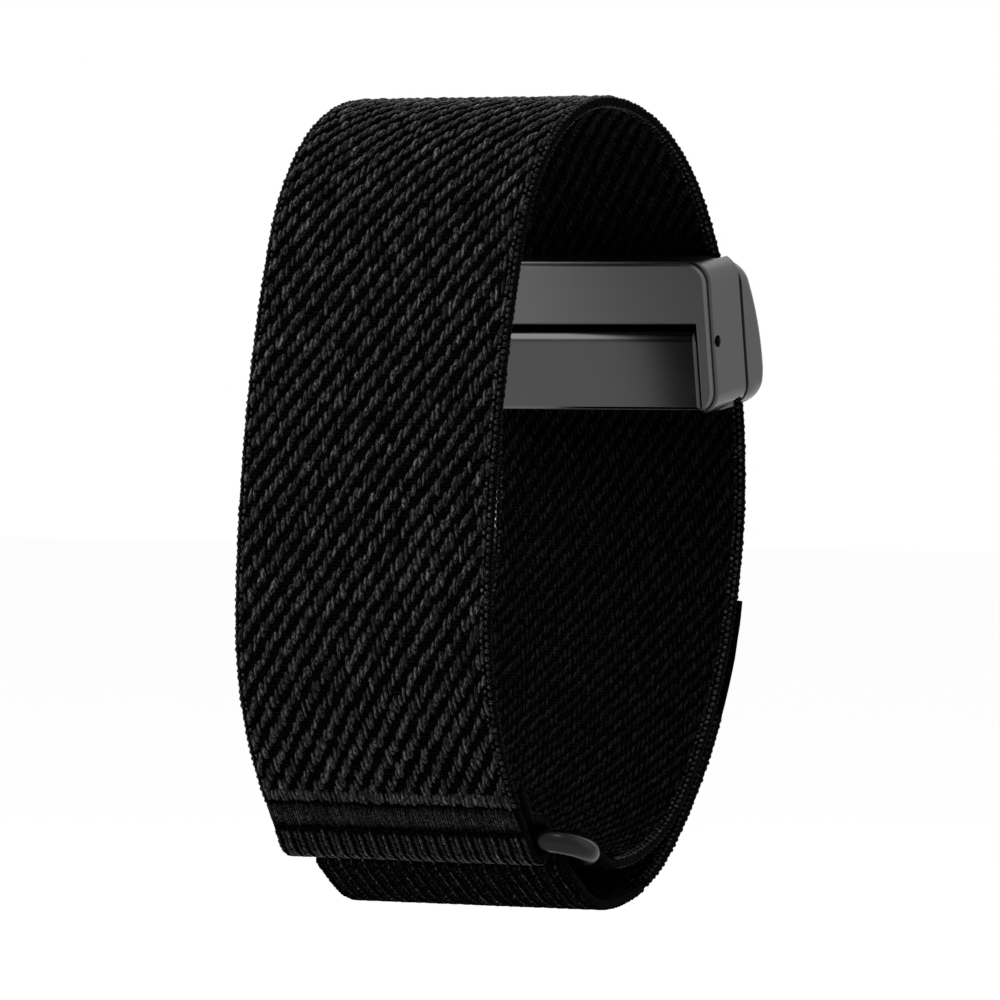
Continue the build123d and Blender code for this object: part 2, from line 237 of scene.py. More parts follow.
# %% Band line sizes
strap_width = 24.0
strap_thickness = 1.1
loop_height = 66.2
apex_y = -1.0
ply_gap = 0.1
crown_radius, crown_turn = 12.9, 45.0
brow_radius, brow_turn = 18.6, 27.5
panel_radius = 109.4
chin_radius = 26.2
run_lean = 32.0
fold_run = 5.0
leg_height = 6.29
shoulder_radius = 18.5
back_radius = 40.5
back_rise_share = 0.27
heel_run = 6.28
heel_height = 3.2
lift_radius = 3.5
fold_lean = 50.0
fold_overlap = 2.6
seam_height = 2.0
seam_above_ring = 2.2
tail_cover_share = 0.4
tail_run = 4.87
tail_rise_radius = 5.8
tail_taper, tail_tip_thickness = 9.0, 0.4
tape_length, tape_thickness, tape_inset, tape_margin = 8.0, 0.3, 3.5, 0.8
wire_diameter, wire_clearance = 1.8, 0.1
ring_pitch, ring_tilt = 5.77, -16.0
clasp_drop_share, clasp_tilt, clasp_parting = 0.2123, 8.25, -0.55


# %% Band line
def polar(centre, radius, angle):
    """Point on a circle, from its centre, radius and angle."""
    return (centre[0] + radius * cos(radians(angle)), centre[1] + radius * sin(radians(angle)))


def tangent_angle(first, second, reach):
    """Angle, on the first circle, of the tangent line that runs on to the second one."""
    y, z = second[0] - first[0], second[1] - first[1]
    return degrees(atan2(z, y) + acos(reach / hypot(y, z)))


def inner_radius(centre, radius, lowest):
    """Radius of the arc with that lowest point which runs smoothly into the larger circle round it."""
    reach = hypot(lowest[0] - centre[0], lowest[1] - centre[1])
    return (radius**2 - reach**2) / (radius + lowest[1] - centre[1]) / 2


def bearing(centre, point):
    """Angle at which a point lies, seen from a centre."""
    return degrees(atan2(point[1] - centre[1], point[0] - centre[0]))


half_ply = strap_thickness / 2
half_width = strap_width / 2
half_height = loop_height / 2
apex_z = half_height - half_ply
wrap_radius = wire_diameter / 2 + wire_clearance + half_ply
crown = (apex_y, apex_z - crown_radius)
crown_end = 90 + crown_turn
brow = polar(crown, crown_radius - brow_radius, crown_end)
brow_end = crown_end + brow_turn
panel = polar(brow, brow_radius - panel_radius, brow_end)
chin_end = 180 + run_lean
chin_drop = (chin_radius - wrap_radius) * sin(radians(chin_end)) + fold_run * cos(radians(chin_end))
chin_z = leg_height - half_height - chin_drop
panel_end = 180 - degrees(asin((chin_z - panel[1]) / (panel_radius - chin_radius)))
chin = polar(panel, panel_radius - chin_radius, panel_end)
run_top = polar(chin, chin_radius, chin_end)
run_end = polar(run_top, fold_run, chin_end + 90)
upper_leg = polar(run_end, -wrap_radius, chin_end)
lower_leg = polar(upper_leg, ring_pitch, ring_tilt)
shoulder = (apex_y, apex_z - shoulder_radius)
back_level = back_rise_share * (back_radius - half_height)
shoulder_end = degrees(asin((shoulder[1] - back_level) / (back_radius - shoulder_radius)))
back = polar(shoulder, shoulder_radius - back_radius, shoulder_end)
heel_lowest = (lower_leg[0] + heel_run, heel_height + half_ply - half_height)
heel_radius = inner_radius(back, back_radius, heel_lowest)
heel = polar(heel_lowest, heel_radius, 90)
back_end = bearing(back, heel)
lift = polar(heel_lowest, lift_radius, 90)
lift_end = tangent_angle(lift, lower_leg, lift_radius + wrap_radius)
wrap_start = lift_end + 180
tail_radius = back_radius + strap_thickness + ply_gap
tail_lowest = (lower_leg[0] + tail_run, half_ply - half_height)
tail_bottom_radius = inner_radius(back, tail_radius, tail_lowest)
bottom = polar(tail_lowest, tail_bottom_radius, 90)
tail_leave_angle = bearing(back, bottom)
tail_tip_angle = tail_leave_angle + tail_cover_share * (shoulder_end - tail_leave_angle)
rise = polar(tail_lowest, tail_rise_radius, 90)
rise_end = tangent_angle(rise, lower_leg, tail_rise_radius - wrap_radius)
wrap_end = rise_end + 360
return_ply = strap_thickness + ply_gap
lean_reach = (wrap_radius + wrap_radius * cos(radians(fold_lean)) - return_ply) / sin(radians(fold_lean))
join_along = wrap_radius * sin(radians(fold_lean)) + lean_reach * cos(radians(fold_lean))
seam_top = seam_above_ring + seam_height
clasp_angle = shoulder_end - clasp_drop_share * (shoulder_end - tail_leave_angle)
clasp_centre = polar(back, back_radius, clasp_angle)
parting_way = (0.0, cos(radians(clasp_angle - clasp_tilt)), sin(radians(clasp_angle - clasp_tilt)))
parting_point = (
    0.0,
    (clasp_centre[0] + clasp_parting * parting_way[1]) * MM,
    (clasp_centre[1] + clasp_parting * parting_way[2]) * MM,
)

# %% [markdown]
# A short step along the line keeps the bends round and lets every yarn find its place. The line
# is cut where the weave changes: ribbed near both folds, twill everywhere else.

# %% Points on the line
line_step = 0.3
fine_step = 0.15
tail_rib_turn = 24.0


def arc(centre, radius, start, end, step=line_step):
    """Points along an arc, without its last one."""
    count = max(3, round(abs(radians(end - start)) * radius / step))
    return [polar(centre, radius, start + (end - start) * share / count) for share in range(count)]


def straight(start, end, step=line_step):
    """Points along a straight run, without its last one."""
    count = max(1, round(hypot(end[0] - start[0], end[1] - start[1]) / step))
    shares = [share / count for share in range(count)]
    return [tuple(a + (b - a) * share for a, b in zip(start, end)) for share in shares]


def run_in(along, inward):
    """Point beside the straight run, by the distance up from the ring and in from the centreline."""
    foot = polar(run_end, along, chin_end - 90)
    return polar(foot, -inward, chin_end)


fold_start = chin_end + 180 + fold_lean
tail_rib_end = tail_rib_turn - 90
fold_line = straight(run_in(join_along + fold_overlap, return_ply), run_in(join_along, return_ply), fine_step)
fold_line += straight(run_in(join_along, return_ply), polar(upper_leg, wrap_radius, fold_start), fine_step)
fold_line += arc(upper_leg, wrap_radius, fold_start, chin_end, fine_step)
fold_line += straight(run_end, run_in(seam_top, 0), fine_step)
twill_line = straight(run_in(seam_top, 0), run_top)
twill_line += arc(chin, chin_radius, chin_end, panel_end)
twill_line += arc(panel, panel_radius, panel_end, brow_end)
twill_line += arc(brow, brow_radius, brow_end, crown_end)
twill_line += arc(crown, crown_radius, crown_end, 90)
twill_line += arc(shoulder, shoulder_radius, 90, shoulder_end)
twill_line += arc(back, back_radius, shoulder_end, back_end)
twill_line += arc(heel, heel_radius, back_end, -90)
heel_line = arc(lift, lift_radius, -90, lift_end, fine_step)
heel_line += straight(polar(lift, lift_radius, lift_end), polar(lower_leg, wrap_radius, wrap_start), fine_step)
heel_line += arc(lower_leg, wrap_radius, wrap_start, wrap_end, fine_step)
heel_line.append(polar(lower_leg, wrap_radius, wrap_end))
tail_rib_line = straight(polar(lower_leg, wrap_radius, wrap_end), polar(rise, tail_rise_radius, rise_end), fine_step)
tail_rib_line += arc(rise, tail_rise_radius, rise_end, -90, fine_step)
tail_rib_line += arc(bottom, tail_bottom_radius, -90, tail_rib_end, fine_step)
tail_twill_line = arc(bottom, tail_bottom_radius, tail_rib_end, tail_leave_angle)
tail_twill_line += arc(back, tail_radius, tail_leave_angle, tail_tip_angle)
tail_twill_line.append(polar(back, tail_radius, tail_tip_angle))
fold_line.append(twill_line[0])
twill_line.append(heel_line[0])
tail_rib_line.append(tail_twill_line[0])
seam_line = straight(run_in(seam_above_ring, 0), run_in(seam_top, 0)) + [run_in(seam_top, 0)]
bobbin_line = straight(run_in(seam_top, return_ply), run_in(seam_above_ring, return_ply))
bobbin_line.append(run_in(seam_above_ring, return_ply))
tape_top = tail_tip_angle - degrees(tape_inset / tail_radius)
tape_bottom = tape_top - degrees(tape_length / tail_radius)
tape_line = arc(back, tail_radius, tape_bottom, tape_top) + [polar(back, tail_radius, tape_top)]


def lengths(line):
    """Distance along a line at each of its points."""
    total = [0.0]
    for first, second in zip(line, line[1:]):
        total.append(total[-1] + hypot(second[0] - first[0], second[1] - first[1]))
    return total


for name, line in (("fold", fold_line), ("twill", twill_line), ("heel", heel_line), ("tail", tail_twill_line)):
    print(name, "line:", len(line), "points,", round(lengths(line)[-1], 1), "mm")

# %% [markdown]
# ## Yarn, cloth and metal finishes
#
# A yarn is a bundle of fine filaments, so its surface is streaked along its length and each yarn
# is a little lighter or darker than the next. Each strand is painted lighter down its middle and
# darker at its sides, a painted highlight and painted shade. Short painted glints stand in for the
# light caught by filaments that don't lie quite parallel. Both ends of a float are painted darker,
# as painted shade where it dives into the cloth. One group of nodes paints the streaks, glints and
# end shade from the yarn's own UV map and tone. A second group makes the fine grain and soft marks
# of satin plated metal from the object's coordinates. Both are built once and placed in each finish
# with its own values.

# %% Filament streaks
filaments, given, result = new_tree(
    "ShaderNodeTree",
    "filament streaks",
    [("Strands", FLOAT, 7.0), ("Glints", FLOAT, 1.8), ("Dark", COLOR, None), ("Light", COLOR, None)],
    [("Color", COLOR), ("Height", FLOAT)],
)
yarn_map = add_node(filaments, "ShaderNodeUVMap", uv_map="UVMap")
across_yarn, along_yarn = add_node(filaments, "ShaderNodeSeparateXYZ", {0: yarn_map.outputs[0]}).outputs[:2]
own_tone = add_node(filaments, "ShaderNodeAttribute", attribute_name="tone").outputs["Fac"]
own_place = times(filaments, own_tone, 40.0)
noise_place = calculate(filaments, "ADD", own_place, along_yarn)
wobble = add_node(
    filaments, "ShaderNodeTexNoise", {"W": noise_place, "Scale": 2.5, "Detail": 1.0}, noise_dimensions="1D"
)
drift = times(filaments, wobble.outputs[0], 0.4)
phase = calculate(filaments, "ADD", across_yarn, drift)
phase = times(filaments, phase, given["Strands"])
phase = calculate(filaments, "FRACT", phase)
phase = times(filaments, phase, pi)
# Painted highlight down the middle of each strand and painted shade between strands; the same profile is also the bump
# height.
strand = calculate(filaments, "SINE", phase)
plug(filaments, result["Height"], strand)
# Painted glints: bright patches along the strands, drawn from noise.
across_strands = times(filaments, across_yarn, given["Strands"])
along_strands = times(filaments, along_yarn, given["Glints"])
patch = add_node(filaments, "ShaderNodeCombineXYZ", {"X": across_strands, "Y": along_strands, "Z": own_place})
ragged = add_node(filaments, "ShaderNodeTexNoise", {"Vector": patch.outputs[0], "Scale": 2.3, "Detail": 1.0})
painted_glint = add_node(filaments, "ShaderNodeMapRange", {"Value": ragged.outputs[0], "From Min": 0.40, "From Max": 0.66})
darkest_share = 0.25
own_shade = calculate(filaments, "ADD", darkest_share, times(filaments, own_tone, 1 - darkest_share))
shade = times(filaments, times(filaments, strand, painted_glint.outputs[0]), own_shade)
# Painted shade towards both ends of the float.
from_middle = calculate(filaments, "ABSOLUTE", calculate(filaments, "SUBTRACT", along_yarn, 0.5))
near_end = calculate(filaments, "POWER", times(filaments, from_middle, 2.0), 2.5)
painted_end_shade = calculate(filaments, "SUBTRACT", 1.0, near_end)
shade = times(filaments, shade, painted_end_shade)
colour = add_node(filaments, "ShaderNodeMix", {0: shade, 6: given["Dark"], 7: given["Light"]}, data_type="RGBA")
plug(filaments, result["Color"], colour.outputs[2])

# %% Metal grain
grain, given, result = new_tree(
    "ShaderNodeTree",
    "satin grain",
    [
        ("Roughness", FLOAT, 0.35),
        ("Spread", FLOAT, 0.1),
        ("Color", COLOR, None),
        ("Worn Color", COLOR, None),
    ],
    [("Color", COLOR), ("Roughness", FLOAT), ("Height", FLOAT)],
)
place = add_node(grain, "ShaderNodeTexCoord")
stretched = vectors(grain, "MULTIPLY", place.outputs["Object"], (1.0, 14.0, 14.0))
lines = add_node(grain, "ShaderNodeTexNoise", {"Vector": stretched, "Scale": 900.0, "Detail": 2.0})
marks = add_node(grain, "ShaderNodeTexNoise", {"Vector": place.outputs["Object"], "Scale": 160.0, "Detail": 3.0})
specks = add_node(grain, "ShaderNodeTexNoise", {"Vector": place.outputs["Object"], "Scale": 9000.0, "Detail": 1.0})
speck_height = times(grain, specks.outputs[0], 0.6)
plug(grain, result["Height"], calculate(grain, "ADD", lines.outputs[0], speck_height))
uneven = times(grain, calculate(grain, "SUBTRACT", marks.outputs[0], 0.5), given["Spread"])
plug(grain, result["Roughness"], calculate(grain, "ADD", given["Roughness"], uneven))
worn = times(grain, marks.outputs[0], 0.6)
metal = add_node(grain, "ShaderNodeMix", {0: worn, 6: given["Color"], 7: given["Worn Color"]}, data_type="RGBA")
plug(grain, result["Color"], metal.outputs[2])


# %% Finishes
def grey(value, warmth=0.0):
    """A grey, slightly cooler where warmth is below zero."""
    return (value * (1 + warmth), value, value * (1 - warmth), 1)


def finish(name, **constants):
    """A material with a Principled shader whose plain values are set on its own sockets."""
    made = bpy.data.materials.new(name)
    made.use_nodes = True
    shader = made.node_tree.nodes["Principled BSDF"]
    for label, value in constants.items():
        shader.inputs[label.replace("_", " ").title().replace("Ior", "IOR")].default_value = value
    return made, made.node_tree, shader


def raise_surface(tree, shader, height, relief):
    """Bumps a finish by a height, up to that many millimetres."""
    bump = add_node(tree, "ShaderNodeBump", {"Height": height, "Distance": relief * MM, "Strength": 1.0})
    plug(tree, shader.inputs["Normal"], bump.outputs[0])


def yarn_finish(name, dark, light, strands, roughness, gloss, relief, glints=1.8):
    """Yarn: streaks of filaments with painted highlights, glints and end shade, a tone for each yarn and the soft gloss
    of polyester.
    """
    made, tree, shader = finish(name, roughness=roughness, specular_ior_level=gloss)
    values = {"Strands": strands, "Glints": glints, "Dark": grey(dark), "Light": grey(light)}
    streaks = add_node(tree, "ShaderNodeGroup", values, node_tree=filaments)
    plug(tree, shader.inputs["Base Color"], streaks.outputs["Color"])
    raise_surface(tree, shader, streaks.outputs["Height"], relief)
    return made


def metal_finish(name, colour, worn, roughness, spread, relief, crease_painted_shade=None):
    """Plated metal: a fine grain across it, slightly uneven gloss and, if asked, painted shade along a crease."""
    made, tree, shader = finish(name, metallic=1.0)
    values = {"Roughness": roughness, "Spread": spread, "Color": colour, "Worn Color": worn}
    satin = add_node(tree, "ShaderNodeGroup", values, node_tree=grain)
    shown = satin.outputs["Color"]
    if crease_painted_shade:
        # Painted shade: near black in a band either side of the parting plane, where the groove is.
        point, direction, near, far = crease_painted_shade
        place = add_node(tree, "ShaderNodeTexCoord").outputs["Object"]
        offset = vectors(tree, "SUBTRACT", place, point)
        height = add_node(tree, "ShaderNodeVectorMath", {0: offset, 1: direction}, operation="DOT_PRODUCT").outputs[1]
        gap = add_node(
            tree,
            "ShaderNodeMapRange",
            {"Value": calculate(tree, "ABSOLUTE", height), "From Min": near, "From Max": far, "To Min": 0.05},
            interpolation_type="SMOOTHSTEP",
        )
        shown = add_node(
            tree, "ShaderNodeMix", {0: gap.outputs[0], 6: grey(0.004), 7: shown}, data_type="RGBA"
        ).outputs[2]
    plug(tree, shader.inputs["Base Color"], shown)
    plug(tree, shader.inputs["Roughness"], satin.outputs["Roughness"])
    raise_surface(tree, shader, satin.outputs["Height"], relief)
    return made


# Darkest and lightest grey, strands, roughness, gloss, relief and, for the seam, glints
twill_yarn = yarn_finish("twill_yarn", 0.0010, 0.28, 2.0, 0.45, 0.05, 0.05)
# The wrist face's yarn is the outer yarn painted darker: painted shade.
inner_yarn_painted_shade = yarn_finish("inner_yarn_painted_shade", 0.0006, 0.058, 3.0, 0.5, 0.02, 0.05)
edge_yarn = yarn_finish("edge_yarn", 0.0010, 0.24, 1.0, 0.45, 0.05, 0.02)
loop_yarn = yarn_finish("loop_yarn", 0.0008, 0.014, 2.0, 0.6, 0.01, 0.02)
rib_yarn = yarn_finish("rib_yarn", 0.0010, 0.32, 2.0, 0.45, 0.05, 0.03)
crest_yarn = yarn_finish("crest_yarn", 0.0008, 0.075, 2.0, 0.5, 0.04, 0.03)
# The lower fold and tail yarns are the front fold's yarns painted darker, as painted shade, and without gloss.
low_rib_yarn_painted_shade = yarn_finish("low_rib_yarn_painted_shade", 0.0008, 0.26, 2.0, 0.6, 0.0, 0.03)
low_crest_yarn_painted_shade = yarn_finish("low_crest_yarn_painted_shade", 0.0006, 0.050, 2.0, 0.6, 0.0, 0.03)
satin_thread = yarn_finish("satin_thread", 0.0008, 0.17, 1.0, 0.42, 0.01, 0.03, 6.0)
hook_nylon = finish("hook_nylon", base_color=grey(0.02), roughness=0.4)[0]

# Plain and worn colour, roughness, its spread and relief; the clasp has painted shade along its parting
cool = -0.01
parting_painted_shade = (parting_point, parting_way, 0.12 * MM, 0.34 * MM)
gunmetal = metal_finish("gunmetal_satin", grey(0.056, cool), grey(0.066, cool), 0.32, 0.08, 0.0015, parting_painted_shade)
# The face plate is the same plating painted lighter (painted light) with a rougher finish; the lever is painted a
# little darker (painted shade) with a glossier one.
plate_metal_painted_light = metal_finish("gunmetal_plate_painted_light", grey(0.112, cool), grey(0.126, cool), 0.50, 0.08, 0.0015)
lever_metal_painted_shade = metal_finish("gunmetal_lever_painted_shade", grey(0.052, cool), grey(0.062, cool), 0.18, 0.08, 0.0015)
polished = metal_finish("ring_polish", grey(0.015), grey(0.020), 0.26, 0.05, 0.0003)
polished.node_tree.nodes["Principled BSDF"].inputs["Specular Tint"].default_value = grey(0.7)
steel = metal_finish("pin_steel", grey(0.02), grey(0.03), 0.45, 0.1, 0.001)


# %% Ground cloth finish
pick_pitch = 0.28


def ground_finish(name, dark, light, relief):
    """Weft lines across the cloth, from how far along the band each point lies, with painted glints."""
    made, tree, shader = finish(name, roughness=0.8, specular_ior_level=0.0)
    along = add_node(tree, "ShaderNodeAttribute", attribute_name="along")
    across = add_node(tree, "ShaderNodeAttribute", attribute_name="across")
    waver = add_node(tree, "ShaderNodeTexNoise", {"W": across.outputs["Fac"], "Scale": 2.5}, noise_dimensions="1D")
    place = calculate(tree, "ADD", along.outputs["Fac"], times(tree, waver.outputs[0], 0.12))
    pick = calculate(tree, "SINE", times(tree, place, 2 * pi / pick_pitch))
    level = calculate(tree, "ADD", times(tree, pick, 0.5), 0.5)
    spread = add_node(tree, "ShaderNodeCombineXYZ", {"X": across.outputs["Fac"], "Y": along.outputs["Fac"]})
    # Painted glints: small bright specks along the weft lines, drawn from noise.
    ragged = add_node(tree, "ShaderNodeTexNoise", {"Vector": spread.outputs[0], "Scale": 4.0, "Detail": 2.0})
    painted_glint = add_node(tree, "ShaderNodeMapRange", {"Value": ragged.outputs[0], "From Min": 0.42, "From Max": 0.68})
    shade = times(tree, level, painted_glint.outputs[0])
    colour = add_node(tree, "ShaderNodeMix", {0: shade, 6: grey(dark), 7: grey(light)}, data_type="RGBA")
    plug(tree, shader.inputs["Base Color"], colour.outputs[2])
    raise_surface(tree, shader, level, relief)
    return made


twill_ground = ground_finish("twill_ground", 0.0008, 0.012, 0.04)
rib_ground = ground_finish("rib_ground", 0.0008, 0.012, 0.04)

# %% [markdown]
# ## Ground cloth
#
# Under the yarns that show lies the ground of the webbing: weft and rubber cores, darker and
# matt. It is swept along the line with a rounded section. Where the webbing is ribbed, the
# section has one hump for each cord, which gives the folds their scalloped outline. The ribs
# swell gradually out of the flat cloth next to the seam and next to the twill.

# %% Ground cloth
ground_half = 0.40
tip_drop = half_ply + ground_half - tail_tip_thickness
tip_run = tail_taper * tip_drop / (strap_thickness - tail_tip_thickness)
rib_count = 21
rib_pitch = strap_width / rib_count
rib_groove = 0.30
rib_crest = 0.53
edge_slope = 0.5
seam_fade, twill_fade = 0.6, 1.2
ply_fade, ply_rib_share = 0.5, 0.3
twill_samples = 32
rib_samples = rib_count * 8


def ease(value):
    """Smooth rise from 0 to 1."""
    value = min(1.0, max(0.0, value))
    return value * value * (3 - 2 * value)


def section(samples, ribs):
    """Outline of the webbing across its width: distance across and height, all the way round."""
    top = []
    for sample in range(samples + 1):
        share = 2 * sample / samples - 1
        across = half_width * (share if samples == rib_samples else sin(share * pi / 2))
        inset = min(1.0, max(0.0, abs(across) - (half_width - edge_slope)) / edge_slope)
        hump = abs(cos(pi * across / rib_pitch)) ** 0.7
        height = ground_half + ribs * (rib_groove + (rib_crest - rib_groove) * hump - ground_half)
        top.append((across, height * (1 - inset**3) ** 0.5 + 0.001))
    return top + [(across, -height) for across, height in reversed(top)]


def sweep(name, line, samples, ribs_at, material, squeeze=None):
    """A closed band that follows the line, with how far along and across stored on its points."""
    run = lengths(line)
    verts, faces, along, across = [], [], [], []
    for index, (y, z) in enumerate(line):
        before, after = line[max(index - 1, 0)], line[min(index + 1, len(line) - 1)]
        ty, tz = after[0] - before[0], after[1] - before[1]
        size = hypot(ty, tz)
        low, high = squeeze(run[index], run[-1]) if squeeze else (-half_ply, half_ply)
        for x, n in section(samples, ribs_at(run[index], run[-1])):
            n = min(max(n, low), high)
            verts.append((x * MM, (y - n * tz / size) * MM, (z + n * ty / size) * MM))
            along.append(run[index])
            across.append(x)
    ring = 2 * samples + 2
    for index in range(len(line) - 1):
        for side in range(ring):
            nxt = (side + 1) % ring
            faces.append((index * ring + side, index * ring + nxt, (index + 1) * ring + nxt, (index + 1) * ring + side))
    faces.append(tuple(reversed(range(ring))))
    faces.append(tuple((len(line) - 1) * ring + side for side in range(ring)))
    mesh = bpy.data.meshes.new(name)
    mesh.from_pydata(verts, [], faces)
    for label, values in (("along", along), ("across", across)):
        mesh.attributes.new(label, "FLOAT", "POINT").data.foreach_set("value", values)
    made = new_object(name, mesh)
    shell = bmesh.new()
    shell.from_mesh(mesh)
    bmesh.ops.recalc_face_normals(shell, faces=shell.faces)
    shell.to_mesh(mesh)
    shell.free()
    mesh.shade_smooth()
    mesh.materials.append(material)
    print(name, "has", len(mesh.polygons), "faces")
    return made


def plain(run, total):
    """No ribs."""
    return 0.0


def fold_ribs(run, total):
    """Ribs of the front fold, flattened by the seam on both plies."""
    behind = max(ply_rib_share, ease((run - fold_overlap) / ply_fade))
    return min(ease((total - run - seam_height) / seam_fade), behind)


def heel_ribs(run, total):
    """Ribs that rise out of the twill."""
    return ease(run / twill_fade)


def tail_ribs(run, total):
    """Ribs that sink back into the twill."""
    return ease((total - run) / twill_fade)


def pressed_tip(run, total):
    """The tail keeps its inner face and thins towards its tip on the outer one."""
    share = min(1.0, (total - run) / tail_taper)
    return -half_ply + (strap_thickness - tail_tip_thickness) * (1 - share), half_ply


twill_cloth = sweep("twill_ground_cloth", twill_line, twill_samples, plain, twill_ground)
fold_cloth = sweep("front_fold_cloth", fold_line, rib_samples, fold_ribs, rib_ground)
heel_cloth = sweep("lower_fold_cloth", heel_line, rib_samples, heel_ribs, rib_ground)
tail_rib_cloth = sweep("tail_rib_cloth", tail_rib_line, rib_samples, tail_ribs, rib_ground)
tail_cloth = sweep("tail_ground_cloth", tail_twill_line, twill_samples, plain, twill_ground, pressed_tip)

# %% [markdown]
# ## One yarn
#
# Wherever a yarn shows, it shows as a float: a short arched pad that comes up out of the cloth
# and dives back in. A flat grid is bent into that shape, and its UV map runs along the yarn, so
# that the streaks of the finish follow the filaments.

# %% One yarn
one_yarn, given, result = new_tree(
    "GeometryNodeTree",
    "one yarn",
    [
        ("Length", FLOAT, 1.15 * MM),
        ("Width", FLOAT, 0.5 * MM),
        ("Height", FLOAT, 0.17 * MM),
        ("Around", INT, 5),
        ("Along", INT, 6),
    ],
    [("Yarn", GEOMETRY)],
)
sheet = add_node(
    one_yarn,
    "GeometryNodeMeshGrid",
    {"Size X": 2.0, "Size Y": 2.0, "Vertices X": given["Around"], "Vertices Y": given["Along"]},
)
named = add_node(
    one_yarn,
    "GeometryNodeStoreNamedAttribute",
    {"Geometry": sheet.outputs["Mesh"], "Name": "UVMap", "Value": sheet.outputs["UV Map"]},
    data_type="FLOAT2",
    domain="CORNER",
)
spot = add_node(one_yarn, "ShaderNodeSeparateXYZ", {0: add_node(one_yarn, "GeometryNodeInputPosition").outputs[0]})
turn = times(one_yarn, spot.outputs[0], pi / 2)
ends = times(one_yarn, spot.outputs[1], spot.outputs[1])
bow = calculate(one_yarn, "SQRT", calculate(one_yarn, "SUBTRACT", 1.0001, ends))
slim = times(one_yarn, times(one_yarn, ends, ends), 0.5)
slim = calculate(one_yarn, "SUBTRACT", 1.0, slim)
half_across = times(one_yarn, given["Width"], 0.5)
wide = times(one_yarn, times(one_yarn, calculate(one_yarn, "SINE", turn), half_across), slim)
long = times(one_yarn, spot.outputs[1], times(one_yarn, given["Length"], 0.5))
high = times(one_yarn, calculate(one_yarn, "COSINE", turn), bow)
high = times(one_yarn, high, given["Height"])
shape = add_node(one_yarn, "ShaderNodeCombineXYZ", {"X": wide, "Y": long, "Z": high}).outputs[0]
bent = add_node(one_yarn, "GeometryNodeSetPosition", {"Geometry": named.outputs[0], "Position": shape}).outputs[0]
plug(one_yarn, result["Yarn"], bent)

# %% [markdown]
# ## Yarns that follow the band
#
# Twill is a repeat: each yarn passes over some picks of the weft, dips under the next, and its
# neighbour does the same one step further on, which draws the diagonal. The same rule with
# other sizes gives the beads of the selvedge, the yarns between the ribs and the satin seam. So
# one tree lays floats in columns along the line, and its inputs say how many, how large, how
# they step from column to column and which face they lie on. With Edge set, the floats turn on
# their side and lie across the edge of the band, as the loops of the weft do.

# %% Yarn tree
T, given, result = new_tree(
    "GeometryNodeTree",
    "yarn floats",
    [
        ("Line", GEOMETRY, None),
        ("Columns", INT, 43),
        ("Rows", INT, 90),
        ("Repeat", INT, 3),
        ("Column Pitch", FLOAT, 0.56 * MM),
        ("Row Pitch", FLOAT, 1.65 * MM),
        ("Start", FLOAT, 0.0),
        ("Offset", FLOAT, 0.0),
        ("Side", FLOAT, 1.0),
        ("Edge", FLOAT, 0.0),
        ("Lift", FLOAT, 0.4 * MM),
        ("Thin From", FLOAT, 1.0),
        ("Thin By", FLOAT, 0.0),
        ("Length", FLOAT, 1.05 * MM),
        ("Width", FLOAT, 0.46 * MM),
        ("Height", FLOAT, 0.14 * MM),
        ("Lean", FLOAT, 0.0),
        ("Disorder", FLOAT, 1.0),
        ("Around", INT, 5),
        ("Along", INT, 6),
        ("Seed", INT, 1),
        ("Material", MATERIAL, None),
    ],
    [("Yarns", GEOMETRY)],
)


def chance(low, high, salt):
    """A steady random number for each yarn."""
    seed = calculate(T, "ADD", given["Seed"], salt)
    made = add_node(T, "FunctionNodeRandomValue", {2: low, 3: high, "Seed": seed}, data_type="FLOAT")
    return made.outputs[1]


def disorder(amount, salt):
    """A random number either side of zero, scaled by the tree's Disorder."""
    return times(T, chance(-amount, amount, salt), given["Disorder"])


line_curve = add_node(T, "GeometryNodeMeshToCurve", {0: given["Line"]}).outputs[0]
count = times(T, given["Columns"], given["Rows"])
seeds = add_node(T, "GeometryNodePoints", {"Count": count}).outputs[0]
index = add_node(T, "GeometryNodeInputIndex").outputs[0]
column = calculate(T, "MODULO", index, given["Columns"])
row = calculate(T, "FLOOR", calculate(T, "DIVIDE", calculate(T, "ADD", index, 0.5), given["Columns"]))
middle = calculate(T, "DIVIDE", calculate(T, "SUBTRACT", given["Columns"], 1.0), 2.0)
sideways = times(T, calculate(T, "SUBTRACT", column, middle), given["Column Pitch"])
sideways = calculate(T, "ADD", sideways, given["Offset"])
slack = times(T, given["Width"], 0.06)
sideways = calculate(T, "ADD", sideways, times(T, slack, disorder(1.0, 11)))
step = calculate(T, "DIVIDE", times(T, column, given["Side"]), given["Repeat"])
step = calculate(T, "FRACT", calculate(T, "ADD", step, 300.0))
reach = times(T, calculate(T, "ADD", row, step), given["Row Pitch"])
reach = calculate(T, "ADD", reach, given["Start"])
slack = times(T, given["Length"], 0.05)
reach = calculate(T, "ADD", reach, times(T, slack, disorder(1.0, 12)))
spot = add_node(T, "GeometryNodeSampleCurve", {"Curves": line_curve, "Length": reach}, mode="LENGTH")
thinning = add_node(
    T,
    "ShaderNodeMapRange",
    {"Value": reach, "From Min": given["Thin From"], "From Max": calculate(T, "ADD", given["Thin From"], tip_run * MM)},
)
lift_now = times(T, thinning.outputs[0], given["Thin By"])
lift_now = calculate(T, "SUBTRACT", given["Lift"], lift_now)
face_out = vectors(T, "CROSS_PRODUCT", (1.0, 0.0, 0.0), spot.outputs["Tangent"])
face_out = vectors(T, "SCALE", face_out, scale=given["Side"])
edge_out = add_node(T, "ShaderNodeCombineXYZ", {"X": given["Side"]}).outputs[0]
outward = add_node(
    T, "ShaderNodeMix", {0: given["Edge"], 4: face_out, 5: edge_out}, data_type="VECTOR"
).outputs[1]
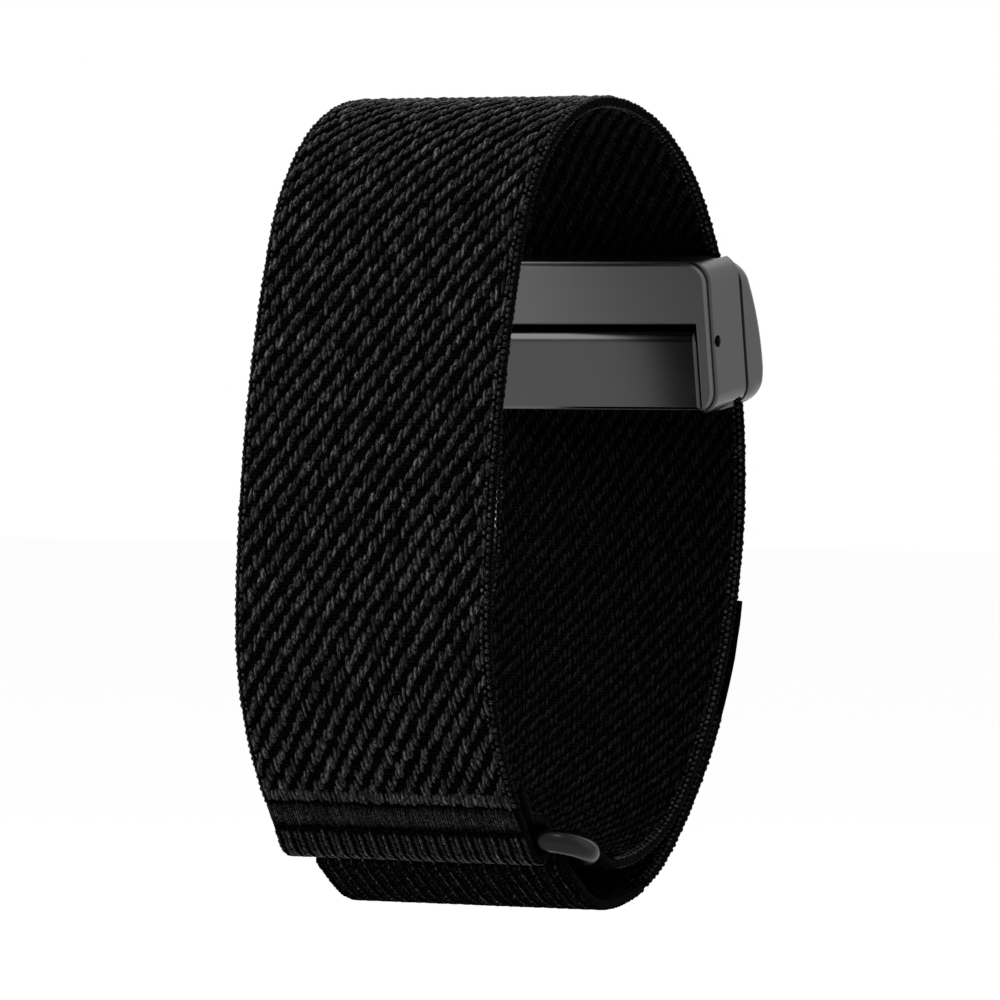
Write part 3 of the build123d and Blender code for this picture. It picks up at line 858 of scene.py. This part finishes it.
forward = add_node(
    T, "ShaderNodeMix", {0: given["Edge"], 4: spot.outputs["Tangent"], 5: face_out}, data_type="VECTOR"
).outputs[1]
shift = add_node(T, "ShaderNodeCombineXYZ", {"X": sideways}).outputs[0]
rest = vectors(T, "ADD", spot.outputs["Position"], shift)
rest = vectors(T, "ADD", rest, vectors(T, "SCALE", outward, scale=lift_now))
placed = add_node(T, "GeometryNodeSetPosition", {"Geometry": seeds, "Position": rest}).outputs[0]

# %% Lay the floats
yarn = add_node(T, "GeometryNodeGroup", node_tree=one_yarn)
for label in ("Length", "Width", "Height", "Around", "Along"):
    plug(T, yarn.inputs[label], given[label])
facing = add_node(T, "FunctionNodeAxesToRotation", {0: outward, 1: forward}, primary_axis="Z", secondary_axis="Y")
twist = calculate(T, "ADD", times(T, given["Lean"], given["Side"]), disorder(0.10, 13))
spin = add_node(T, "FunctionNodeAxisAngleToRotation", {"Axis": (0.0, 0.0, 1.0), "Angle": twist}).outputs[0]
turned = add_node(T, "FunctionNodeRotateRotation", {0: facing.outputs[0], 1: spin}, rotation_space="LOCAL").outputs[0]
grown = calculate(T, "ADD", 1.0, disorder(0.12, 14))
longer = calculate(T, "ADD", 1.0, disorder(0.10, 15))
sizes = add_node(T, "ShaderNodeCombineXYZ", {"X": grown, "Y": longer, "Z": grown}).outputs[0]
laid = add_node(
    T,
    "GeometryNodeInstanceOnPoints",
    {"Points": placed, "Instance": yarn.outputs[0], "Rotation": turned, "Scale": sizes},
).outputs[0]
toned = add_node(
    T,
    "GeometryNodeStoreNamedAttribute",
    {"Geometry": laid, "Name": "tone", "Value": chance(0.0, 1.0, 16)},
    data_type="FLOAT",
    domain="INSTANCE",
).outputs[0]
real = add_node(T, "GeometryNodeRealizeInstances", {0: toned}).outputs[0]
smooth = add_node(T, "GeometryNodeSetShadeSmooth", {0: real}).outputs[0]
dyed = add_node(T, "GeometryNodeSetMaterial", {"Geometry": smooth, "Material": given["Material"]}).outputs[0]
plug(T, result["Yarns"], dyed)
print("yarn tree has", len(T.nodes), "nodes")


# %% Plain meshes from the trees
def grow(name, line, **values):
    """Runs the yarn tree on a line and keeps the result as a plain mesh."""
    wire = bpy.data.meshes.new(name + "_line")
    wire.from_pydata([(0, y * MM, z * MM) for y, z in line], [(i, i + 1) for i in range(len(line) - 1)], [])
    host = new_object(name + "_line", wire)
    growth = host.modifiers.new("growth", "NODES")
    growth.node_group = T
    keys = {socket.name: socket.identifier for socket in T.interface.items_tree if socket.in_out == "INPUT"}
    for label, value in values.items():
        growth[keys[label.replace("_", " ").title()]] = value
    grown = host.evaluated_get(bpy.context.evaluated_depsgraph_get())
    mesh = bpy.data.meshes.new_from_object(grown)
    mesh.name = name
    made = new_object(name, mesh)
    bpy.data.objects.remove(host)
    return made


def joined(name, pieces):
    """Several pieces made into one."""
    with bpy.context.temp_override(active_object=pieces[0], selected_editable_objects=pieces):
        bpy.ops.object.join()
    pieces[0].name = name
    print(name, "has", len(pieces[0].data.polygons), "faces")
    return pieces[0]


# %% [markdown]
# ## Twill faces
#
# Both faces of the webbing are twill, with four columns to a repeat. A float is a little over a
# millimetre long and steps a quarter of a row from one column to the next. The wrist face is the
# same weave in a finer gauge, with its yarn painted darker as painted shade.

# %% Twill
twill_inset, twill_sink = 0.65, 0.03
outer_row, inner_row = 2.14, 1.67
twill_shared = dict(repeat=4, lift=(ground_half - twill_sink) * MM, lean=-0.05, disorder=2.5)
outer_float = dict(
    columns=55,
    column_pitch=0.42 * MM,
    row_pitch=outer_row * MM,
    length=1.30 * MM,
    width=0.46 * MM,
    height=0.18 * MM,
    material=twill_yarn,
    **twill_shared,
)
inner_float = dict(
    columns=69,
    column_pitch=0.335 * MM,
    row_pitch=inner_row * MM,
    length=1.04 * MM,
    width=0.34 * MM,
    height=0.15 * MM,
    around=4,
    along=5,
    material=inner_yarn_painted_shade,
    **twill_shared,
)


def twill_rows(line, row):
    """Rows of floats that fill a line, and where the first one starts: one row before its inset."""
    rows = int((lengths(line)[-1] - 2 * twill_inset) / row)
    return dict(rows=rows + 1, start=(twill_inset - row) * MM)


seam_edge_points = 3
clear_line = twill_line[seam_edge_points:]
outer_twill = joined("outer_twill", [
    grow("outer_twill", clear_line, side=1.0, seed=3, **twill_rows(clear_line, outer_row), **outer_float)
])
inner_twill = joined("inner_twill", [
    grow("inner_twill", clear_line, side=-1.0, seed=4, **twill_rows(clear_line, inner_row), **inner_float)
])
tail_length = lengths(tail_twill_line)[-1]
tape_gap, tip_gap = 1.5, 1.2
tail_twill = joined("tail_twill", [
    grow(
        "tail_outer",
        tail_twill_line,
        side=-1.0,
        rows=int((tail_length - 2 * twill_inset) / outer_row),
        start=twill_inset * MM,
        thin_from=(tail_length - tip_run) * MM,
        thin_by=tip_drop * MM,
        seed=5,
        **outer_float,
    ),
    grow(
        "tail_inner",
        tail_twill_line,
        side=1.0,
        rows=int((tail_length - tape_inset - tape_length - tape_gap) / inner_row),
        start=twill_inset * MM,
        seed=6,
        **inner_float,
    ),
    grow(
        "tail_inner_tip",
        tail_twill_line,
        side=1.0,
        rows=int((tape_inset - tip_gap) / inner_row),
        start=(tail_length - tape_inset + tip_gap / 2) * MM,
        seed=7,
        **inner_float,
    ),
])

# %% [markdown]
# ## Selvedges
#
# Two columns of small beads run along both edges of both faces, half a step apart. Round the
# edge itself lie the loops where the weft turns back, a little over a quarter millimetre apart.

# %% Selvedges
selvedge_start = 0.1
bead_pitch, bead_inset, bead_sink = 0.57, 0.42, 0.07
bead = dict(
    columns=2,
    repeat=2,
    column_pitch=0.42 * MM,
    row_pitch=bead_pitch * MM,
    lift=(ground_half - bead_sink) * MM,
    length=0.46 * MM,
    width=0.34 * MM,
    height=0.15 * MM,
    around=5,
    along=4,
    disorder=1.5,
    material=edge_yarn,
)
loop_pitch, loop_inset = 0.285, 0.13
loop = dict(
    columns=1,
    repeat=1,
    edge=1.0,
    row_pitch=loop_pitch * MM,
    length=0.72 * MM,
    width=0.30 * MM,
    height=0.15 * MM,
    around=4,
    along=6,
    disorder=0.4,
    material=loop_yarn,
)


def selvedge(name, line, faces, seed):
    """Beads on the given faces of a line and loops round both of its edges."""
    total = lengths(line)[-1]
    parts = []
    for number, (side, edge) in enumerate((side, edge) for side in faces for edge in (-1.0, 1.0)):
        place = dict(start=selvedge_start * MM, offset=edge * (half_width - bead_inset) * MM)
        rows = int(total / bead_pitch)
        parts.append(grow(name, line, side=side, rows=rows, seed=seed + number, **place, **bead))
    for number, edge in enumerate((-1.0, 1.0)):
        place = dict(start=selvedge_start * MM, offset=edge * (half_width - loop_inset) * MM, lift=0.0)
        rows = int(total / loop_pitch)
        parts.append(grow(name, line, side=edge, rows=rows, seed=seed + 10 + number, **place, **loop))
    return joined(name, parts)


selvedge_stop = tail_taper + 1
twill_selvedge = selvedge("twill_selvedge", twill_line, (1.0, -1.0), 20)
fold_selvedge = selvedge("front_fold_selvedge", fold_line, (), 40)
heel_selvedge = selvedge("lower_fold_selvedge", heel_line, (), 60)
tail_rib_selvedge = selvedge("tail_rib_selvedge", tail_rib_line, (), 80)
tail_selvedge = selvedge(
    "tail_selvedge", tail_twill_line[: -int(selvedge_stop / line_step)], (1.0, -1.0), 100
)

# %% [markdown]
# ## Yarns between the ribs
#
# Along each groove between two cords runs a thin yarn that binds the cords together, and over
# each cord lie two columns of short dark yarns that lean to one side.

# %% Binder yarns
binder_pitch, binder_rise = 0.52, 0.09
binder = dict(
    columns=rib_count - 1,
    repeat=2,
    column_pitch=rib_pitch * MM,
    row_pitch=binder_pitch * MM,
    offset=0.15 * MM,
    lift=(rib_groove + binder_rise) * MM,
    length=0.66 * MM,
    width=0.30 * MM,
    height=0.15 * MM,
    around=4,
    along=5,
    disorder=1.8,
)
crest_pitch, crest_sink = 0.42, 0.09
crest = dict(
    columns=2 * rib_count,
    repeat=2,
    column_pitch=rib_pitch / 2 * MM,
    row_pitch=crest_pitch * MM,
    lift=(rib_crest - crest_sink) * MM,
    length=0.80 * MM,
    width=0.34 * MM,
    height=0.09 * MM,
    lean=0.30,
    around=4,
    along=4,
    disorder=1.8,
)


def binders(name, line, side, seed, thread, cover, start=0.3, end=0.3):
    """Binder yarns between the cords and leaning yarns over them, on one face of a ribbed line."""
    room = lengths(line)[-1] - start - end
    shared = dict(side=side, start=start * MM)
    return [
        grow(name, line, rows=round(room / binder_pitch), seed=seed, material=thread, **shared, **binder),
        grow(name, line, rows=round(room / crest_pitch), seed=seed + 10, material=cover, **shared, **crest),
    ]


hidden_ply, seam_gap = 2.8, 0.55
fold_binders = joined("front_fold_binders", binders(
    "front_fold_binders", fold_line, 1.0, 130, rib_yarn, crest_yarn, hidden_ply, seam_height + seam_gap
))
# The lower fold and the tail take the darker copies: painted shade.
low_painted_shade_finish = (low_rib_yarn_painted_shade, low_crest_yarn_painted_shade)
heel_binders = joined(
    "lower_fold_binders",
    binders("lower_fold_binders", heel_line, -1.0, 131, *low_painted_shade_finish, end=0.0)
    + binders("lower_fold_binders_inside", heel_line[: len(heel_line) // 3], 1.0, 132, *low_painted_shade_finish),
)
tail_binders = joined(
    "tail_binders",
    binders("tail_binders", tail_rib_line, -1.0, 133, *low_painted_shade_finish, start=0.15)
    + binders("tail_binders_inside", tail_rib_line, 1.0, 134, *low_painted_shade_finish),
)

# %% [markdown]
# ## The satin seam
#
# The front fold is closed by a satin seam: about a hundred threads laid side by side, each a
# little longer than the seam is high. The bobbin side behind is laid in the same way.

# %% Seam
thread_count = 98
seam_margin, thread_tuck, thread_sink = 0.5, 0.1, 0.10
thread = dict(
    columns=thread_count,
    rows=1,
    repeat=1,
    column_pitch=(strap_width - seam_margin) / thread_count * MM,
    start=seam_height / 2 * MM,
    lift=(half_ply - thread_sink) * MM,
    length=(seam_height + thread_tuck) * MM,
    width=0.27 * MM,
    height=0.15 * MM,
    around=4,
    along=9,
    material=satin_thread,
)
seam = joined("satin_seam", [
    grow("satin_seam", seam_line, side=1.0, disorder=1.0, seed=150, **thread),
    grow("bobbin_side", bobbin_line, side=1.0, disorder=1.0, seed=151, **thread),
])

# %% [markdown]
# ## Hook tape
#
# The patch near the tail's tip is a thin nylon base with rows of small hooks. Each hook is drawn
# as a small arch of a few faces, and the yarn tree spreads the arches over the patch.

# %% Hook tape
base_depth, hook_root = 0.12, 0.13


def tape_faces(run, total):
    """Heights of the base's two faces."""
    return half_ply - tape_thickness, half_ply - base_depth


tape_base = sweep("hook_tape_base", tape_line, 8, plain, hook_nylon, tape_faces)
for vertex in tape_base.data.vertices:
    vertex.co.x *= (half_width - tape_margin) / half_width
hooks = joined("tape_hooks", [grow(
    "tape_hooks",
    tape_line,
    columns=38,
    rows=16,
    repeat=2,
    column_pitch=0.58 * MM,
    row_pitch=0.48 * MM,
    start=0.3 * MM,
    side=1.0,
    lift=(half_ply - hook_root) * MM,
    length=0.34 * MM,
    width=0.15 * MM,
    height=0.13 * MM,
    around=4,
    along=4,
    disorder=0.3,
    seed=170,
    material=hook_nylon,
)])

# %% [markdown]
# ## Ride on the bodies
#
# Each woven piece moves with the band, and those of the tail with the tail. The tail's ribbed
# stretch leaves the fold; it is fixed where it lies and rides on neither body.

# %% Rides
for piece in (twill_cloth, fold_cloth, heel_cloth, outer_twill, inner_twill, twill_selvedge, fold_selvedge,
              heel_selvedge, fold_binders, heel_binders):
    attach(piece, "band")
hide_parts("elastic_band")
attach(seam, "band")
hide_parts("seam_stitching")
for piece in (tail_cloth, tail_twill, tail_selvedge):
    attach(piece, "tail")
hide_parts("band_tail")
for piece in (tail_rib_cloth, tail_rib_selvedge, tail_binders):
    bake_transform(piece)
for piece in (tape_base, hooks):
    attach(piece, "tail")
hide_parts("hook_tape")

# %% [markdown]
# ## Metal pieces
#
# The clasp and the ring keep their own solids. Their triangles are welded into whole flats, and
# their sharp edges get a small round, because a real plated edge catches a thin line of light.

# %% Metal
edge_round = 0.05
metal_finishes = {
    "clasp_body": gunmetal,
    "face_plate": plate_metal_painted_light,
    "clasp_cover": gunmetal,
    "lock_lever": lever_metal_painted_shade,
    "hook_ring": polished,
    "lever_pin": steel,
    "cover_dowels": steel,
}


def modify(piece, name, kind, **settings):
    """A modifier on a piece, with its settings made."""
    made = piece.modifiers.new(name, kind)
    for label, value in settings.items():
        setattr(made, label, value)


rounded = dict(segments=2, limit_method="ANGLE", angle_limit=radians(28), harden_normals=True)
for name, material in metal_finishes.items():
    piece = nodes[name]
    piece.data.materials.clear()
    piece.data.materials.append(material)
    piece.data.shade_smooth()
    modify(piece, "weld", "WELD", merge_threshold=0.001 * MM)
    modify(piece, "whole flats", "DECIMATE", decimate_type="DISSOLVE", angle_limit=radians(0.5))
    modify(piece, "edge round", "BEVEL", width=edge_round * MM, **rounded)
    modify(piece, "even shading", "WEIGHTED_NORMAL", keep_sharp=True, weight=80)
print("metal pieces:", ", ".join(metal_finishes))
